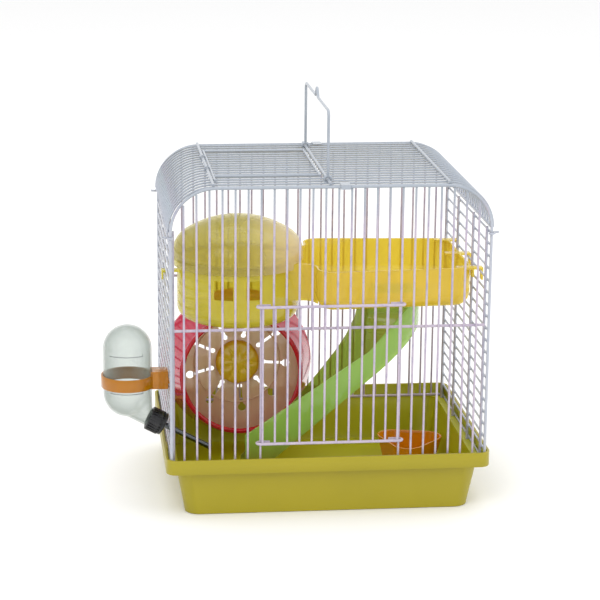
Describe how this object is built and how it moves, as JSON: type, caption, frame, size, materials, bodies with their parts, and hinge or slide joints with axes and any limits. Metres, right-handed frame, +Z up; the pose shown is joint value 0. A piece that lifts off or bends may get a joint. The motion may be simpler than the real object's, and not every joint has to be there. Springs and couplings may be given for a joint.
{
  "type": "hamster cage",
  "caption": "Wire hamster cage on a deep plastic tray, with sliding front door, roof hatch, carry handle, raised floor with dome house, slide, exercise wheel, bowl and drinking bottle",
  "frame": {"origin": "centre of the tray's underside", "axes": "+Z up, the cage front with the sliding door towards -Y, the drinking bottle on the -X side"},
  "size_m": [0.3219, 0.207, 0.3424],
  "materials": {
    "tray": "satin",
    "wire": "gloss",
    "clip": "gloss",
    "floor_clear": "gloss",
    "dome_clear": "gloss",
    "slide_clear": "gloss",
    "wheel_red": "gloss",
    "disc_clear": "gloss",
    "hub_ochre": "satin",
    "bracket": "satin",
    "bowl_orange": "gloss",
    "bottle_clear": "gloss",
    "cap_black": "satin",
    "seal_rubber": "matte",
    "steel": "polished",
    "holder_orange": "gloss"
  },
  "bodies": {
    "tray": {"base_tray": "tray"},
    "cage": {"front_frame": "wire", "front_panel": "wire", "rear_frame": "wire", "rear_panel": "wire", "left_panel": "wire", "right_panel": "wire", "roof_panel": "wire", "left_shoulder": "wire", "right_shoulder": "wire", "front_roof_clip": "clip", "rear_roof_clip": "clip", "upper_floor": "floor_clear", "floor_slide": "slide_clear", "wheel_axle": "steel", "wheel_screw_left": "steel", "wheel_screw_right": "steel", "wheel_bracket": "bracket", "wheel_back_plate": "bracket", "water_bottle": "bottle_clear", "bottle_cap": "cap_black", "cap_seal": "seal_rubber", "drinking_tube": "steel", "bottle_holder": "holder_orange"},
    "door": {"door_rails": "wire", "door_bars": "wire"},
    "handle": {"carry_handle": "wire"},
    "hatch": {"roof_hatch": "wire"},
    "wheel": {"wheel_drum": "wheel_red", "wheel_disc": "disc_clear", "wheel_hub": "hub_ochre"},
    "dome": {"house_dome": "dome_clear"},
    "bowl": {"food_bowl": "bowl_orange"},
    "ball": {"tube_ball": "steel"}
  },
  "joints": [
    {"name": "cage_lift", "type": "slide", "parent": "tray", "child": "cage", "axis": [0, 0, 1], "range_m": [0, 0.06]},
    {"name": "door_slide", "type": "slide", "parent": "cage", "child": "door", "axis": [0, 0, 1], "range_m": [0, 0.093]},
    {"name": "hatch_hinge", "type": "hinge", "parent": "cage", "child": "hatch", "pos_m": [-0.0958, 0, 0.27812], "axis": [0, -1, 0], "range_deg": [0, 110]},
    {"name": "handle_hinge", "type": "hinge", "parent": "cage", "child": "handle", "pos_m": [-0.0015, 0, 0.27812], "axis": [0, 1, 0], "range_deg": [-86, 86]},
    {"name": "wheel_spin", "type": "hinge", "parent": "cage", "child": "wheel", "pos_m": [-0.0613, 0.0805, 0.0818], "axis": [0, 1, 0], "continuous": true},
    {"name": "dome_lift", "type": "slide", "parent": "cage", "child": "dome", "axis": [0, 0, 1], "range_m": [0, 0.035]},
    {"name": "bowl_lift", "type": "slide", "parent": "tray", "child": "bowl", "axis": [0, 0, 1], "range_m": [0, 0.03]},
    {"name": "ball_push", "type": "slide", "parent": "cage", "child": "ball", "axis": [-0.8805, 0, 0.4741], "range_m": [0, 0.0015]}
  ]
}
